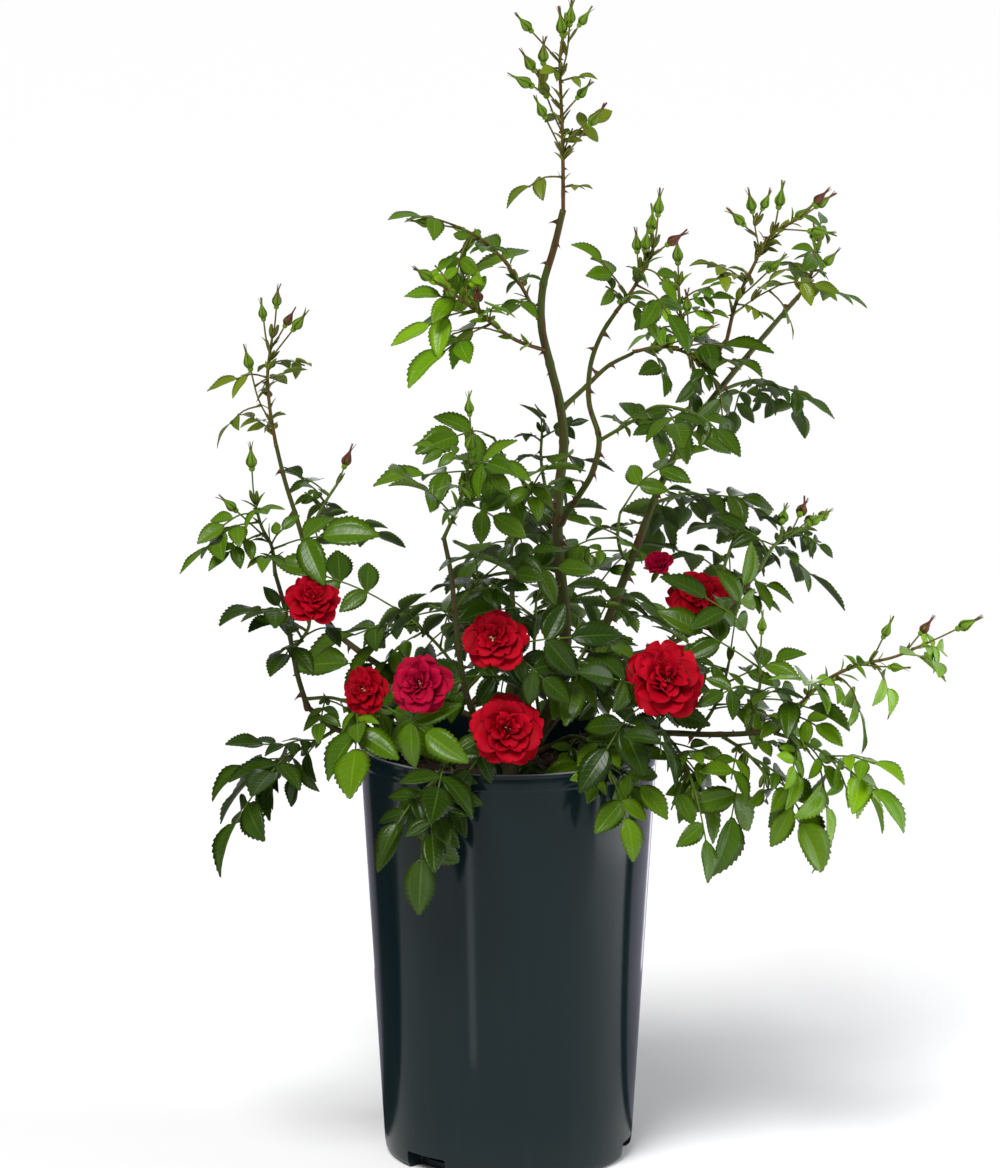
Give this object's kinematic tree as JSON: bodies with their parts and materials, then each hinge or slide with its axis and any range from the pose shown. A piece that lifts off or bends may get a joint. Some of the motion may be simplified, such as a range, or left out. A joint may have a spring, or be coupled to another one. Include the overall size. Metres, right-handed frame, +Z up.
{
  "type": "potted rose bush",
  "caption": "Young rose bush with red blooms and pointed buds, growing in a tall round pot filled with compost.",
  "frame": {"origin": "middle of the pot's flat underside", "axes": "+Z up along the plant, -Y the front of the bush, +X to its right"},
  "size_m": [0.4639, 0.3261, 0.6911],
  "materials": {
    "pot_plastic": "very dark green-grey glossy plastic",
    "compost": "damp dark brown compost",
    "cane_bark": "smooth olive green to brown rose bark",
    "foliage": "satin green rose leaves with red blooms"
  },
  "bodies": {
    "root": {"pot": "pot_plastic", "soil": "compost", "main_cane": "cane_bark", "right_cane": "cane_bark", "left_cane": "cane_bark", "outer_cane": "cane_bark", "front_cane": "cane_bark", "low_right_cane": "cane_bark", "back_cane": "cane_bark", "inner_cane": "cane_bark", "cross_bough": "cane_bark", "upper_right_cane": "cane_bark", "outer_top_cane": "cane_bark", "bud_cane": "cane_bark", "top_spray": "foliage", "upper_left_spray": "foliage", "left_bud_spray": "foliage", "inner_spray": "foliage", "cross_spray": "foliage", "lone_bud_spray": "foliage", "upper_right_spray": "foliage", "right_tip_spray": "foliage", "right_leaf_spray": "foliage", "fork_spray": "foliage", "mid_left_spray": "foliage", "mid_back_spray": "foliage", "front_top_spray": "foliage", "front_arch_spray": "foliage", "left_top_spray": "foliage", "left_side_spray": "foliage", "outer_top_spray": "foliage", "outer_bloom_spray": "foliage", "inner_left_spray": "foliage", "left_rim_spray": "foliage", "low_left_spray": "foliage", "left_bloom_spray": "foliage", "centre_bloom_spray": "foliage", "front_bloom_spray": "foliage", "front_left_spray": "foliage", "front_right_spray": "foliage", "centre_spray": "foliage", "centre_right_spray": "foliage", "right_inner_spray": "foliage", "right_bloom_spray": "foliage", "bloom_pair_spray": "foliage", "bud_spray": "foliage", "bud_leaf_spray": "foliage", "arch_spray": "foliage", "low_right_spray": "foliage", "right_curl_spray": "foliage", "right_arch_spray": "foliage", "hanging_right_spray": "foliage", "rim_right_spray": "foliage", "right_fill_spray": "foliage", "back_top_spray": "foliage", "back_left_spray": "foliage", "back_right_spray": "foliage", "back_low_spray": "foliage"}
  },
  "joints": []
}
